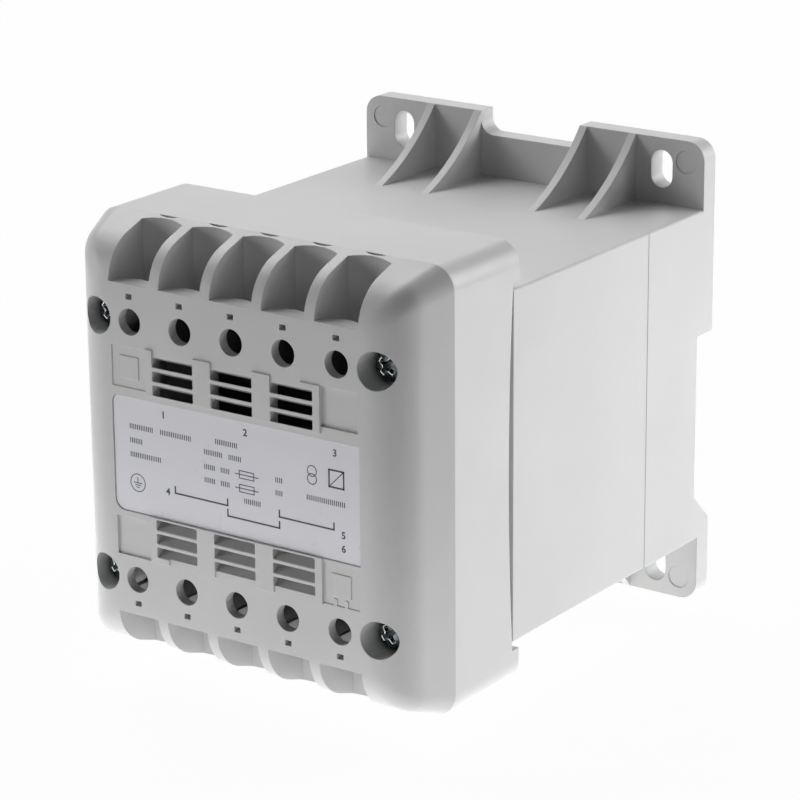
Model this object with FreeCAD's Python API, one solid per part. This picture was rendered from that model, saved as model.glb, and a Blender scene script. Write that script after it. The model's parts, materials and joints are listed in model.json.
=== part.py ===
"""Transformer in a moulded case for a 35 mm rail: casing, front cover, core, coil, terminals and rail latch.

Millimetres. X runs to the right, Y to the rear and Z up. The origin is the centre of the rear mounting plane.
"""
import FreeCAD, Part
import math
import os

V = FreeCAD.Vector
SIDES = (-1, 1)

# How far a cutting shape goes past the face that it opens
cut_past = 1.0

# Core of E and I laminations with limbs upright, stacked from front to rear
core_width = 80.0
core_stack = 40.0
core_limb = core_width / 6
core_height = 5 * core_limb
core_hole_radius = 2.25
fixing_x = core_width / 2 - core_limb / 2
fixing_z = core_height / 2 - core_limb / 2
window_half = core_height / 2 - core_limb

# Coil on the centre limb
limb_clearance = 0.3
bobbin_wall = 1.2
bobbin_corner = 1.5
flange_thickness = 1.2
flange_corner = 2.0
flange_clearance = 0.15
flange_reach = 12.5
flange_side_clearance = 0.3
layer_gap = 0.05
primary_build = 5.2
insulation_build = 0.4
secondary_build = 4.2
tape_build = 0.3
pin_radius = 0.6
pin_height = 3.9
pin_inset = 2.0

# Casing
wall = 2.2
core_side_clearance = 0.3
core_top_clearance = 0.467
casing_half_x = core_width / 2 + core_side_clearance + wall
casing_half_z = core_height / 2 + core_top_clearance + wall
rear_wall = 2.5
coil_rear_clearance = 0.8
witness_step = 0.07
witness_from_rear = 26.0
casing_edge_radius = 0.6
boss_radius = 5.0
boss_bore_radius = 2.0
boss_bore_depth = 11.0

# Rail channel across the back
channel_width = 35.5
channel_depth = 6.1
channel_drop = 8.5
channel_slope_run = 5.9
rail_edge_thickness = 1.0
hook_gap = 0.4
hook_thickness = 1.8
hook_reach = 1.7
hook_near_x = 14.0
hook_width = 12.0

# Rear plate and ears
plate_thickness = 4.5
ear_reach = 14.0
ear_corner_radius = 4.0
notch_half_width = 12.4
notch_depth = 5.0
notch_fillet = 3.0
slot_x_from_edge = 10.1
slot_z_from_tip = 6.6
slot_radius = 2.55
slot_length = 8.0
ejector_radius = 2.4
ejector_depth = 0.2
ejector_x_from_edge = 4.4
ejector_z_from_tip = 4.5
gusset_thickness = 1.8
gusset_spacing = 12.0
gusset_run = 20.0
gusset_bow = 1.6

# Cover, measured back from its front face
cover_front_wall = 2.2
cover_wall = 2.2
terminal_zone = 34.0
cover_side_depth = 32.7
cover_joint_gap = 0.25
cover_side_bow = 1.3
overhang_beyond = 2.4
overhang_wall = 1.8
overhang_gap = 1.6
front_round_radius = 9.8
front_taper_angle = 19.0
crease_depth = 13.1
cover_corner_radius = 5.0
front_corner_radius = 1.3
tongue_thickness = 1.0
tongue_length = 2.8
tongue_clearance = 0.15
tongue_half_z = 30.0
collar_thickness = 1.8
collar_clearance = 0.4

# Poles and wire bays
poles = 5
pole_half_width = 4.7
pillar_radius = 3.4
pillar_clearance = 0.43
block_half_x = fixing_x - pillar_radius - pillar_clearance
pole_pitch = 2 * (block_half_x - pole_half_width) / (poles - 1)
row_z = fixing_z
block_above_row = 4.1
block_below_row = 6.4
block_clearance = 0.25
shelf_thickness = 3.2
bay_height = 10.8
rib_thickness = 2.4
bay_side_depth = 10.9
bay_bow = 1.2
bank_wall = 1.4
shelf_edge_depth = 1.0
shelf_bow = 3.2
slit_half_length = 2.45
slit_bow = 0.6
slit_depth = 1.8
access_radius = 2.7
mark_width = 1.5
mark_height = 1.1
mark_depth = 1.8
mark_above_row = 5.1
bank_bottom = row_z + block_above_row + block_clearance
shelf_top = bank_bottom + shelf_thickness
cover_half_z = shelf_top + bay_height
cover_half_x = casing_half_x
bay_half = (pole_pitch - rib_thickness) / 2

# Cover screws and pillars
recess_radius = 3.8
recess_wall = 1.1
screw_seat_depth = 6.6
seat_thickness = 1.6
sleeve_radius = 3.3
screw_radius = 1.95
screw_hole_radius = 2.2
screw_head_radius = 3.3
screw_head_height = 2.6
screw_reach = 9.0
cross_width = 1.0
cross_length = 4.0
cross_depth = 1.6
thread_clearance = 0.05
lug_thickness = 1.8
lug_end = 3.7
washer_thickness = 0.8
washer_radius = 4.6
washer_hole_radius = 2.15

# Vent strips and label
strip_end_width = 1.65
strip_inner_z = 12.5
strip_outer_z = 21.87
strip_proud = 0.3
strip_cap_length = 4.55
panel_outer_x = 29.55
square_panel_inner_z = 13.15
square_panel_outer_z = 21.5
square_panel_sunk = 0.15
blank_panel_inner_z = 13.85
blank_panel_outer_z = 21.87
blank_panel_sunk = 0.45
square_side = 4.6
square_proud = 0.13
tab_width = 0.9
tab_height = 1.45
tab_pitch = 2.6
tab_middle_x = 25.1
tab_root = 0.2
vent_pitch_x = 14.3
vent_width = 10.0
vent_pitch_z = 2.85
vent_height = 2.2
vent_slope = 30.0
vent_corner_radius = 0.3
vent_columns = 3
vent_rows = 3
vent_middle_z = 16.62
label_half_x = 29.7
label_top_z = 11.2
label_low_radius = 2.2
label_high_radius = 1.4
label_recess_depth = 0.35
label_thickness = 0.15
label_edge_gap = 0.12

# Terminal blocks, measured back from the cover's front face
block_front = 5.2
block_rear = 20.0
block_end_front = 8.6
block_floor = 1.2
partition_thickness = 1.8
end_wall = 1.1
bar_front = 12.5
bar_thickness = 1.6
bar_half_x = 3.4
bar_seat_gap = 0.15
bar_tail_half_x = 1.8
bar_tail_thickness = 1.2
bar_tail_beyond = 7.0
terminal_screw_radius = 1.9
terminal_head_radius = 3.1
terminal_head_height = 2.4
terminal_head_depth = 7.4
terminal_screw_length = 8.8
terminal_slot_width = 1.0
terminal_slot_depth = 1.2
saddle_half = 3.4
saddle_thickness = 1.1
saddle_wing = 1.0
saddle_wing_thickness = 0.6
saddle_gap = 0.1
saddle_hole_radius = 2.1
screw_clear_radius = 2.4

# Leads and earth
lead_radius = 0.9
lead_overlap = 5.0
lead_hump = 2.6
lead_bend_radius = 2.25
lead_end_run = 1.4
lead_pin_gap = 0.05
lug_barrel_radius = 1.6
lug_barrel_length = 7.0
lug_barrel_bore = 1.0
lug_barrel_inset = 6.13
lug_tongue_half = 1.6

# Rail latch in its groove at the lower rear
latch_half_x = 10.0
latch_side_clearance = 0.2
latch_thickness = 2.3
latch_face_gap = 0.1
latch_rear_gap = 0.4
latch_tongue_reach = 1.0
latch_tongue_thickness = 1.0
latch_nose_reach = 1.8
latch_bevel_depth = 2.6
latch_travel = 3.0
latch_pull_reach = 3.0
latch_eye_half_x = 3.0
latch_eye_height = 1.4
latch_window_half = 3.0
latch_window_from_end = 4.5
latch_window_length = 10.0
latch_deep_length = 6.0
peg_half_x = 2.6
peg_length = 2.4
peg_stop_gap = 0.3
spring_radius = 0.85
spring_wire_radius = 0.22
spring_turns = 7
spring_end_gap = 0.05

# Places along the depth
coil_depth = core_stack + 2 * flange_reach
overall_depth = terminal_zone + coil_depth + coil_rear_clearance + rear_wall + channel_depth
front = -overall_depth
core_front = front + terminal_zone + flange_reach
core_rear = core_front + core_stack
core_mid = (core_front + core_rear) / 2
casing_front = front + cover_side_depth + cover_joint_gap
inner_rear = core_rear + flange_reach + coil_rear_clearance
ear_tip_z = casing_half_z + ear_reach
plate_half_x = casing_half_x + witness_step
turn_angle = 90 - front_taper_angle
arc_end_depth = front_round_radius * (1 - math.cos(math.radians(turn_angle)))
taper_run = (crease_depth - arc_end_depth) * math.tan(math.radians(front_taper_angle))
front_inset = front_round_radius * math.sin(math.radians(turn_angle)) + taper_run
pole_x = [(i - (poles - 1) / 2) * pole_pitch for i in range(poles)]
sleeve_end = front + block_rear - lug_thickness
bobbin_inner_x = core_limb + limb_clearance
bobbin_inner_y = core_stack / 2 + limb_clearance
flange_top = window_half - flange_clearance
flange_under = flange_top - flange_thickness
primary_start = layer_gap
insulation_start = primary_start + primary_build + layer_gap
secondary_start = insulation_start + insulation_build + layer_gap
tape_start = secondary_start + secondary_build + layer_gap
pin_y = front + terminal_zone + pin_inset
tail_top = row_z - block_below_row + block_floor + bar_tail_thickness
tail_end = front + block_rear + bar_tail_beyond
lug_barrel_x = fixing_x - lug_barrel_inset
label_drop = strip_inner_z - label_edge_gap
vent_starts = [(i - (vent_columns - 1) / 2) * vent_pitch_x - vent_width / 2 for i in range(vent_columns)]
vent_spans = [(x, x + vent_width) for x in vent_starts]
strip_half_x = vent_spans[-1][1] + strip_end_width

# The rail channel and the latch's groove behind it
channel_low = -channel_drop - channel_width / 2
channel_high = -channel_drop + channel_width / 2
behind_rail = -channel_depth + rail_edge_thickness + hook_gap
latch_rear = -latch_rear_gap
latch_front = latch_rear - latch_thickness
groove_floor = latch_front - latch_face_gap
latch_top = channel_low + latch_nose_reach
latch_end = notch_depth - ear_tip_z - latch_pull_reach
window_low = latch_end + latch_window_from_end
window_top = window_low + latch_window_length
peg_low = window_low + peg_stop_gap
peg_top = peg_low + peg_length


def box(x0, x1, y0, y1, z0, z1):
    return Part.makeBox(x1 - x0, y1 - y0, z1 - z0, V(x0, y0, z0))


def rod(x, z, radius, y0, y1):
    return Part.makeCylinder(radius, y1 - y0, V(x, y0, z), V(0, 1, 0))


def post(x, y, radius, z0, z1):
    return Part.makeCylinder(radius, z1 - z0, V(x, y, z0), V(0, 0, 1))


def fuse(shapes):
    first, *rest = shapes
    return first.multiFuse(rest) if rest else first


def below(shape):
    """The same shape in the lower half."""
    return shape.mirror(V(0, 0, 0), V(0, 0, 1))


def across(shape):
    """The same shape on the other side."""
    return shape.mirror(V(0, 0, 0), V(1, 0, 0))


def turned(shape):
    """The shape turned half a turn about the Y axis."""
    return shape.rotated(V(0, 0, 0), V(0, 1, 0), 180)


def corners(shape):
    """One shape in each of the four corners, from the one at upper right."""
    right = [shape, below(shape)]
    return right + [across(part) for part in right]


def prism(points, direction):
    """A prism on a closed outline. An outline entry is a point, or an arc given as (through, end)."""
    edges = []
    here = points[0]
    for entry in list(points[1:]) + [points[0]]:
        if isinstance(entry, tuple):
            through, end = entry
            edges.append(Part.Arc(here, through, end).toShape())
            here = end
        elif (entry - here).Length > 1e-7:
            edges.append(Part.LineSegment(here, entry).toShape())
            here = entry
    return Part.Face(Part.Wire(edges)).extrude(direction)


def rounded_loop(half_a, half_b, radius, place):
    """A closed rounded rectangle. place turns the two coordinates into a point."""
    edges = []
    ends = []
    for turn, (sign_a, sign_b) in enumerate(((1, 1), (-1, 1), (-1, -1), (1, -1))):
        middle = (sign_a * (half_a - radius), sign_b * (half_b - radius))
        points = []
        for step in (0, 45, 90):
            angle = math.radians(90 * turn + step)
            a = middle[0] + radius * math.cos(angle)
            b = middle[1] + radius * math.sin(angle)
            points.append(place(a, b))
        if ends:
            edges.append(Part.LineSegment(ends[-1], points[0]).toShape())
        edges.append(Part.Arc(*points).toShape())
        ends += [points[0], points[-1]]
    edges.append(Part.LineSegment(ends[-1], ends[0]).toShape())
    return Part.Wire(edges)


def upright_tube(half_x, half_y, radius, z0, z1):
    """A solid rounded rectangle about the coil's axis, from z0 to z1."""
    loop = rounded_loop(half_x, half_y, radius, lambda a, b: V(a, core_mid + b, z0))
    return Part.Face(loop).extrude(V(0, 0, z1 - z0))


def facing_plate(half_x, half_z, radius, y0, y1):
    """A solid rounded rectangle that faces the front, from y0 to y1."""
    loop = rounded_loop(half_x, half_z, radius, lambda a, b: V(a, y0, b))
    return Part.Face(loop).extrude(V(0, y1 - y0, 0))


def cover_form(skin, rear):
    """The cover's outer form, moved inwards by skin, from its front to the plane y = rear."""

    def section(depth, inset):
        share = inset / front_inset
        corner = cover_corner_radius + share * (front_corner_radius - cover_corner_radius)
        corner = max(corner - skin, front_corner_radius / 2)
        y = front + depth
        return rounded_loop(cover_half_x - inset, cover_half_z - inset, corner, lambda a, b: V(a, y, b))

    arc_radius = front_round_radius - skin
    steps = 5
    arc = []
    for i in range(steps + 1):
        angle = math.radians(turn_angle * i / steps)
        depth = front_round_radius - arc_radius * math.cos(angle)
        arc.append(section(depth, front_inset - arc_radius * math.sin(angle)))
    end_inset = front_inset - arc_radius * math.sin(math.radians(turn_angle))
    taper_length = (end_inset - skin) / math.tan(math.radians(front_taper_angle))
    crease = section(depth + taper_length, skin)
    nose = Part.makeLoft(arc, True, False)
    taper = Part.makeLoft([arc[-1], crease], True, True)
    sides = Part.Face(crease).extrude(V(0, rear - front - depth - taper_length, 0))
    return fuse([nose, taper, sides]).removeSplitter()


def bay_outline(x, depth_front, z):
    """Outline of a wire bay seen from above, with flat sides and a back that bows to the rear."""
    return [
        V(x - bay_half, front + depth_front, z),
        V(x - bay_half, front + bay_side_depth, z),
        (V(x, front + bay_side_depth + bay_bow, z), V(x + bay_half, front + bay_side_depth, z)),
        V(x + bay_half, front + depth_front, z),
    ]


def bay_cut(x):
    """What a bay takes out of the cover, past the half round shelf and down to the terminal."""
    above = cover_half_z - shelf_top + cut_past
    under = bank_bottom - cut_past
    upper = prism(bay_outline(x, -cut_past, shelf_top), V(0, 0, above))
    lower = prism(bay_outline(x, shelf_edge_depth, under), V(0, 0, shelf_thickness + cut_past))
    start = under - cut_past
    edge = front + shelf_edge_depth
    shelf = prism([
        V(x - bay_half, front, start),
        V(x - bay_half, edge, start),
        (V(x, edge + shelf_bow, start), V(x + bay_half, edge, start)),
        V(x + bay_half, front, start),
    ], V(0, 0, shelf_top + cut_past - start))
    crease_y = front + crease_depth
    slit = prism([
        V(x - slit_half_length, crease_y, cover_half_z - slit_depth),
        (V(x, crease_y - slit_bow, cover_half_z - slit_depth),
         V(x + slit_half_length, crease_y, cover_half_z - slit_depth)),
    ], V(0, 0, slit_depth + cut_past))
    return [upper, lower.cut(shelf), slit]


def vent_cuts():
    """Louvred slots of the upper strip. They slope down towards the inside."""
    fall = math.tan(math.radians(vent_slope))
    near = -strip_proud - cut_past
    far = cover_front_wall + cut_past
    cuts = []
    for x, _ in vent_spans:
        for row in range(vent_rows):
            low = vent_middle_z + (row - (vent_rows - 1) / 2) * vent_pitch_z - vent_height / 2
            slot = prism([
                V(x, front + near, low - near * fall),
                V(x, front + near, low - near * fall + vent_height),
                V(x, front + far, low - far * fall + vent_height),
                V(x, front + far, low - far * fall),
            ], V(vent_width, 0, 0))
            inward = [edge for edge in slot.Edges if edge.BoundBox.YLength > cover_front_wall]
            cuts.append(slot.makeFillet(vent_corner_radius, inward))
    return cuts


def strip_plate():
    """The upper strip's raised frame: the bars' ground, an upright beside each vent, a cap at the right end."""
    near = front - strip_proud
    far = front + strip_proud
    top_slot = vent_middle_z + (vent_rows - 1) / 2 * vent_pitch_z
    starts = [-strip_half_x] + [right for _, right in vent_spans]
    ends = [left for left, _ in vent_spans] + [strip_half_x]
    plates = [box(-strip_half_x, strip_half_x, near, far, strip_inner_z, top_slot)]
    plates += [box(x0, x1, near, far, strip_inner_z, strip_outer_z) for x0, x1 in zip(starts, ends)]
    cap_start = strip_half_x - strip_cap_length
    plates.append(box(cap_start, strip_half_x, near, far, top_slot, strip_outer_z))
    return fuse(plates)


def panel_recesses():
    """The sunk panels beside the upper strip: one with a raised square at left, a blank one at right."""
    start = front - cut_past
    floor = front + square_panel_sunk
    panel = box(-panel_outer_x, -strip_half_x, start, floor, square_panel_inner_z, square_panel_outer_z)
    x = -(panel_outer_x + strip_half_x) / 2
    z = (square_panel_inner_z + square_panel_outer_z) / 2
    half = square_side / 2
    square = box(x - half, x + half, floor - square_proud, floor + cut_past, z - half, z + half)
    sunk = front + blank_panel_sunk
    blank = box(strip_half_x, panel_outer_x, start, sunk, blank_panel_inner_z, blank_panel_outer_z)
    return [panel.cut(square), blank]


def panel_tabs():
    """Two raised tabs with round tops, at the lower edge of the lower square panel."""
    near = front + square_panel_sunk - square_proud
    half = tab_width / 2
    low = -square_panel_outer_z - tab_root
    bend = -square_panel_outer_z + tab_height - half
    tabs = []
    for x in (tab_middle_x - tab_pitch / 2, tab_middle_x + tab_pitch / 2):
        tabs.append(prism([
            V(x + half, near, low),
            V(x + half, near, bend),
            (V(x, near, bend + half), V(x - half, near, bend)),
            V(x - half, near, low),
        ], V(0, square_proud + tab_root, 0)))
    return tabs


def label_plate(grow, y0, y1):
    """The label's form: rounded corners at left, square corners at right."""
    left = -label_half_x - grow
    right = label_half_x + grow
    low = -label_drop - grow
    high = label_top_z + grow
    low_radius = label_low_radius + grow
    high_radius = label_high_radius + grow
    low_bend = low_radius * (1 - math.sqrt(0.5))
    high_bend = high_radius * (1 - math.sqrt(0.5))
    return prism([
        V(right, y0, low),
        V(right, y0, high),
        V(left + high_radius, y0, high),
        (V(left + high_bend, y0, high - high_bend), V(left, y0, high - high_radius)),
        V(left, y0, low + low_radius),
        (V(left + low_bend, y0, low + low_bend), V(left + low_radius, y0, low)),
    ], V(0, y1 - y0, 0))


def make_front_cover():
    overhang_rear = front + cover_side_depth + overhang_beyond
    outer = cover_form(0, overhang_rear)
    hollow = cover_form(cover_wall, overhang_rear - overhang_wall)
    shell = outer.cut(hollow)

    bank_half = pole_x[-1] + bay_half + bank_wall
    bank_rear = front + bay_side_depth + bay_bow + bank_wall
    bank = box(-bank_half, bank_half, front, bank_rear, bank_bottom, cover_half_z)
    seat_end = front + screw_seat_depth + seat_thickness
    sleeve = fuse([
        rod(fixing_x, fixing_z, recess_radius + recess_wall, front, seat_end),
        rod(fixing_x, fixing_z, sleeve_radius, front, sleeve_end),
    ])
    inside = fuse([bank, below(bank)] + corners(sleeve)).common(outer)
    strip = strip_plate()
    cover = fuse([shell, inside, strip, turned(strip)])

    edge = front + cover_side_depth
    open_half = casing_half_z + overhang_gap
    reach = cover_half_x + 1
    mouth = box(-reach, reach, edge, overhang_rear + 1, -open_half, open_half)
    bow = prism([
        V(-reach, edge, -casing_half_z),
        (V(-reach, edge - cover_side_bow, 0), V(-reach, edge, casing_half_z)),
        V(-reach, edge + 0.5, casing_half_z),
        V(-reach, edge + 0.5, -casing_half_z),
    ], V(2 * reach, 0, 0))
    rebate_x = cover_half_x - cover_wall + tongue_thickness + tongue_clearance
    rebate_z = tongue_half_z + tongue_clearance
    rebate_front = casing_front - tongue_length - tongue_clearance
    rebate = box(-rebate_x, rebate_x, rebate_front, edge + 1, -rebate_z, rebate_z)
    cuts = [mouth, bow, rebate]

    for x in pole_x:
        bays = bay_cut(x)
        hole = rod(x, row_z, access_radius, front - 1, front + cover_front_wall + 1)
        mark_z = row_z + mark_above_row - mark_height / 2
        mark = box(x - mark_width / 2, x + mark_width / 2, front - 1, front + mark_depth,
                   mark_z, mark_z + mark_height)
        upper = bays + [hole, mark]
        cuts += upper + [below(cut) for cut in upper]
    cuts += corners(rod(fixing_x, fixing_z, recess_radius, front - 1, front + screw_seat_depth))
    cuts += corners(rod(fixing_x, fixing_z, screw_hole_radius, front, sleeve_end + 1))
    strip_cuts = vent_cuts() + panel_recesses()
    cuts += strip_cuts + [turned(cut) for cut in strip_cuts]
    cuts.append(label_plate(label_edge_gap, front - 1, front + label_recess_depth))
    return fuse([cover.cut(Part.makeCompound(cuts))] + panel_tabs())


def ear_plate():
    """The rear plate with its four ears, a notch between each pair."""
    tip = ear_tip_z
    dip = ear_tip_z - notch_depth
    bend = ear_corner_radius * (1 - math.sqrt(0.5))
    foot = notch_fillet * math.sqrt(0.5)
    y = -plate_thickness

    def half(sign):
        return [
            V(sign * plate_half_x, y, 0),
            V(sign * plate_half_x, y, tip - ear_corner_radius),
            (V(sign * (plate_half_x - bend), y, tip - bend),
             V(sign * (plate_half_x - ear_corner_radius), y, tip)),
            V(sign * notch_half_width, y, tip),
            V(sign * notch_half_width, y, dip + notch_fillet),
            (V(sign * (notch_half_width - notch_fillet + foot), y, dip + notch_fillet - foot),
             V(sign * (notch_half_width - notch_fillet), y, dip)),
            V(0, y, dip),
            V(0, y, 0),
        ]

    upper = fuse([prism(half(sign), V(0, plate_thickness, 0)) for sign in SIDES])
    return fuse([upper, below(upper)]).removeSplitter()


def gusset(x0):
    """A rib in front of an upper ear, with a hollow curved edge, from x0 to x0 plus its thickness."""
    front_y = -plate_thickness - gusset_run
    base = casing_half_z
    middle_y = -plate_thickness - gusset_run / 2
    middle_z = (base + ear_tip_z) / 2
    slope = math.atan2(ear_reach, gusset_run)
    return prism([
        V(x0, front_y, base),
        (V(x0, middle_y + gusset_bow * math.sin(slope), middle_z - gusset_bow * math.cos(slope)),
         V(x0, -plate_thickness, ear_tip_z)),
        V(x0, -plate_thickness / 2, ear_tip_z),
        V(x0, -plate_thickness / 2, base - wall / 2),
        V(x0, front_y, base - wall / 2),
    ], V(gusset_thickness, 0, 0))


def rail_hook():
    """A fixed hook above the channel, at the right, that goes behind the rail's upper edge."""
    return box(hook_near_x, hook_near_x + hook_width, behind_rail, behind_rail + hook_thickness,
               channel_high - hook_reach, channel_high + 1)


def latch_grooves():
    """The T shaped groove for the latch and the deeper pocket for its nose."""
    half = latch_half_x + latch_side_clearance
    wide = half + latch_tongue_reach
    tongue_rear = latch_front + latch_tongue_thickness + latch_face_gap
    pocket_low = channel_low - latch_deep_length - latch_travel
    return [
        box(-half, half, groove_floor, 1, -ear_tip_z, channel_low + 1),
        box(-wide, wide, groove_floor, tongue_rear, -ear_tip_z, channel_low + 1),
        box(-half, half, behind_rail - latch_face_gap, 1, pocket_low, channel_low + 1),
    ]


def latch_peg():
    """The peg in the groove that holds the spring and stops the latch."""
    return box(-peg_half_x, peg_half_x, groove_floor - 0.5, latch_rear, peg_low, peg_top)


def make_casing():
    witness_y = -witness_from_rear
    body = facing_plate(casing_half_x, casing_half_z, casing_edge_radius, casing_front, witness_y)
    tail = facing_plate(plate_half_x, casing_half_z, casing_edge_radius, witness_y, 0)
    solids = [body, tail, ear_plate()]
    near = notch_half_width
    for x0 in (near, near + gusset_spacing):
        solids += corners(gusset(x0))

    collar_x = cover_half_x - cover_wall - collar_clearance
    collar_z = cover_half_z - cover_wall - collar_clearance
    collar_front = casing_front - collar_thickness
    collar = facing_plate(collar_x, collar_z, cover_corner_radius - cover_wall + collar_clearance,
                          collar_front, casing_front + 0.01)
    solids.append(collar)
    tongue_x = casing_half_x - wall
    tongue = box(tongue_x, tongue_x + tongue_thickness, casing_front - tongue_length, casing_front,
                 -tongue_half_z, tongue_half_z)
    solids += [tongue, across(tongue)]
    casing = fuse(solids)

    room_x = casing_half_x - wall
    room_z = casing_half_z - wall
    room = fuse([
        box(-room_x, room_x, collar_front - 1, inner_rear, -room_z, room_z),
        box(-room_x, room_x, inner_rear - 1, -rear_wall, channel_high + rear_wall, room_z),
    ])
    reach = plate_half_x + 1
    channel = prism([
        V(-reach, -channel_depth, channel_low),
        V(-reach, -channel_depth, channel_high),
        V(-reach, 1, channel_high),
        V(-reach, 1, channel_low - channel_slope_run * (1 + 1 / channel_depth)),
    ], V(2 * reach, 0, 0))
    slot_x = plate_half_x - slot_x_from_edge
    slot_z = ear_tip_z - slot_z_from_tip
    straight = slot_length / 2 - slot_radius
    slot = fuse([
        rod(slot_x, slot_z - straight, slot_radius, -plate_thickness - 1, 1),
        rod(slot_x, slot_z + straight, slot_radius, -plate_thickness - 1, 1),
        box(slot_x - slot_radius, slot_x + slot_radius, -plate_thickness - 1, 1,
            slot_z - straight, slot_z + straight),
    ])
    ejector = rod(plate_half_x - ejector_x_from_edge, ear_tip_z - ejector_z_from_tip, ejector_radius,
                  -plate_thickness - 1, -plate_thickness + ejector_depth)
    cuts = [room, channel] + corners(slot) + corners(ejector) + latch_grooves()
    casing = casing.cut(Part.makeCompound(cuts))

    upper_boss = rod(fixing_x, fixing_z, boss_radius, core_rear, -rear_wall / 2)
    lower_boss = rod(fixing_x, -fixing_z, boss_radius, core_rear, inner_rear + rear_wall / 2)
    bosses = [upper_boss, across(upper_boss), lower_boss, across(lower_boss)]
    bore = rod(fixing_x, fixing_z, boss_bore_radius, core_rear - 1, core_rear + boss_bore_depth)
    hook = rail_hook()
    casing = fuse([casing, hook, across(hook), latch_peg()] + bosses)
    return casing.cut(Part.makeCompound(corners(bore)))


def cross_recess(x, z, y):
    """The cross shaped recess of a screw head whose front is at y."""
    half_width = cross_width / 2
    half_length = cross_length / 2
    return fuse([
        box(x - half_width, x + half_width, y - 1, y + cross_depth, z - half_length, z + half_length),
        box(x - half_length, x + half_length, y - 1, y + cross_depth, z - half_width, z + half_width),
    ])


def pan_head(x, z, radius, height, y):
    """A pan head with a rounded rim whose seat is at y."""
    head = rod(x, z, radius, y - height, y)
    rim = [edge for edge in head.Edges if abs(edge.CenterOfMass.y - y + height) < 1e-6]
    return head.makeFillet(height * 0.45, rim)


def make_cover_screws():
    seat = front + screw_seat_depth
    head = pan_head(fixing_x, fixing_z, screw_head_radius, screw_head_height, seat)
    shank_end = front + block_rear + screw_reach
    shank = rod(fixing_x, fixing_z, screw_radius, seat - 0.5, shank_end)
    screw = fuse([head, shank]).cut(cross_recess(fixing_x, fixing_z, seat - screw_head_height))
    return Part.makeCompound(corners(screw))


def make_pillar_bolts():
    start = front + block_rear
    end = core_front - washer_thickness
    pillar = rod(fixing_x, fixing_z, pillar_radius, start, end)
    stud_radius = boss_bore_radius - thread_clearance
    stud = rod(fixing_x, fixing_z, stud_radius, end - 1, core_rear + boss_bore_depth - 1)
    bore = rod(fixing_x, fixing_z, screw_radius + thread_clearance, start - 1, start + screw_reach + 1)
    return Part.makeCompound(corners(fuse([pillar, stud]).cut(bore)))


def ring(x, z):
    y0 = core_front - washer_thickness
    return rod(x, z, washer_radius, y0, core_front).cut(rod(x, z, washer_hole_radius, y0 - 1, core_front + 1))


def make_pillar_washers():
    places = ((fixing_x, fixing_z), (-fixing_x, fixing_z), (-fixing_x, -fixing_z))
    return Part.makeCompound([ring(x, z) for x, z in places])


def core_holes():
    hole = rod(fixing_x, fixing_z, core_hole_radius, core_front - 1, core_rear + 1)
    return Part.makeCompound(corners(hole))


def make_e_laminations():
    half = core_width / 2
    body = box(-half, half, core_front, core_rear, -core_height / 2, window_half)
    near = core_limb
    window = box(near, near + core_limb, core_front - 1, core_rear + 1, -window_half, window_half + 1)
    return body.cut(Part.makeCompound([window, across(window), core_holes()]))


def make_i_laminations():
    half = core_width / 2
    return box(-half, half, core_front, core_rear, window_half, core_height / 2).cut(core_holes())


def make_coil_bobbin():
    outer_x = bobbin_inner_x + bobbin_wall
    outer_y = bobbin_inner_y + bobbin_wall
    tube = upright_tube(outer_x, outer_y, bobbin_corner, -flange_top, flange_top)
    flange_x = 2 * core_limb - flange_side_clearance
    flange_y = core_stack / 2 + flange_reach
    flange = upright_tube(flange_x, flange_y, flange_corner, flange_under, flange_top)
    hole = box(-bobbin_inner_x, bobbin_inner_x, core_mid - bobbin_inner_y, core_mid + bobbin_inner_y,
               -flange_top - 1, flange_top + 1)
    return fuse([tube, flange, below(flange)]).cut(hole)


def layer(start, build):
    """One layer of the coil, that starts at a distance outside the bobbin's tube."""
    inner_x = bobbin_inner_x + bobbin_wall + start
    inner_y = bobbin_inner_y + bobbin_wall + start
    top = flange_under - layer_gap
    inner_corner = bobbin_corner + start
    outer = upright_tube(inner_x + build, inner_y + build, inner_corner + build, -top, top)
    return outer.cut(upright_tube(inner_x, inner_y, inner_corner, -top - 1, top + 1))


def make_winding_pins():
    pins = [post(x, pin_y, pin_radius, flange_top, flange_top + pin_height) for x in pole_x]
    return Part.makeCompound(pins + [below(pin) for pin in pins[:-1]])


def make_terminal_block():
    """The upper block: floor, partitions, a solid rear with room for each bar and screw, and two lugs."""
    low = row_z - block_below_row
    high = row_z + block_above_row
    rear = front + block_rear
    seat = front + bar_front + bar_thickness + bar_seat_gap
    parts = [
        box(-block_half_x, block_half_x, seat, rear, low, high),
        box(-block_half_x, block_half_x, front + block_front, rear, low, low + block_floor),
    ]
    for i in range(poles - 1):
        x = (pole_x[i] + pole_x[i + 1]) / 2
        half = partition_thickness / 2
        parts.append(box(x - half, x + half, front + block_front, seat, low, high))
    end = box(block_half_x - end_wall, block_half_x, front + block_end_front, seat, low, high)
    lug = box(block_half_x - 1, fixing_x + lug_end, sleeve_end, rear, fixing_z - lug_end, high)
    parts += [end, across(end), lug, across(lug)]
    tail_half = bar_tail_half_x + bar_seat_gap
    tail_low = low + block_floor
    cuts = []
    for x in pole_x:
        cuts.append(box(x - tail_half, x + tail_half, seat - 1, rear + 1, tail_low,
                        tail_low + bar_tail_thickness + bar_seat_gap))
        cuts.append(rod(x, row_z, screw_clear_radius, seat - 1, rear - block_floor))
    lug_hole = rod(fixing_x, fixing_z, screw_hole_radius, sleeve_end - 1, rear + 1)
    cuts += [lug_hole, across(lug_hole)]
    return fuse(parts).cut(Part.makeCompound(cuts))


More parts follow.
